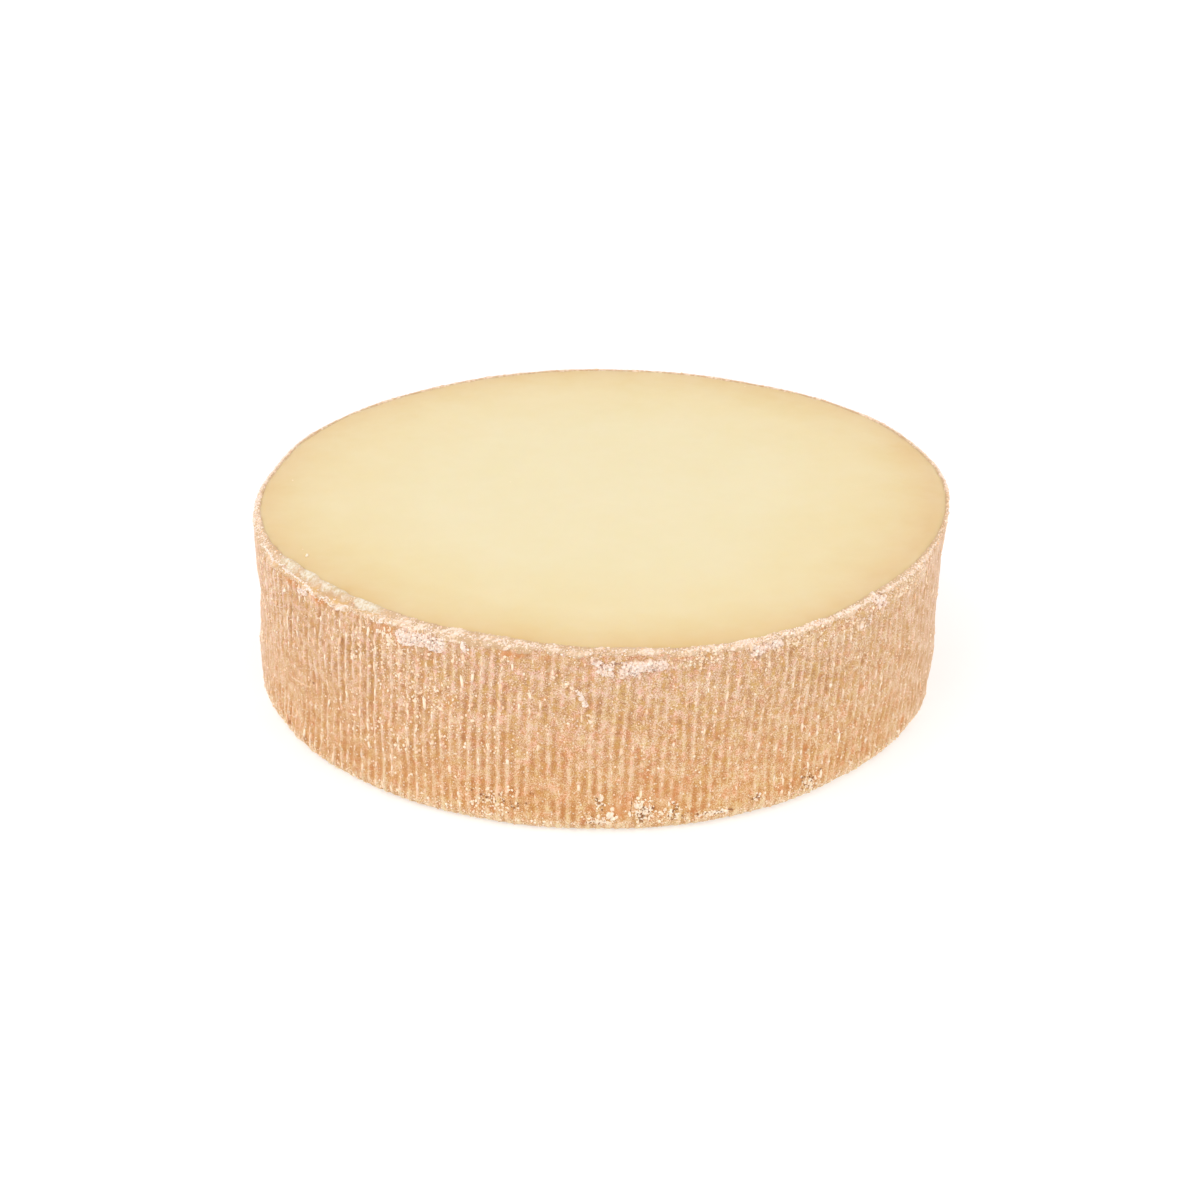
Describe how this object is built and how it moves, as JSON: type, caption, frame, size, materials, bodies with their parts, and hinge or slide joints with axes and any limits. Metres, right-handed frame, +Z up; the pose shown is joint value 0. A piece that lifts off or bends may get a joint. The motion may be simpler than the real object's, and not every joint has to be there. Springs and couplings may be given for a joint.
{
  "type": "cheese wheel",
  "caption": "Half of a small round washed-rind cheese, cut across and lying cut face up: smooth pale paste, crumbly rim and a ribbed, net-printed side.",
  "frame": {"origin": "centre of the wheel's box at the base it stands on", "axes": "+Z up, out of the cut face; -Y is the side shown in front; +X is to the right of it"},
  "size_m": [0.1208, 0.1204, 0.0333],
  "materials": {
    "cheese": "satin pale yellow paste inside a dry orange-tan rind with a cream bloom"
  },
  "bodies": {
    "root": {"cheese_wheel": "cheese"}
  },
  "joints": []
}
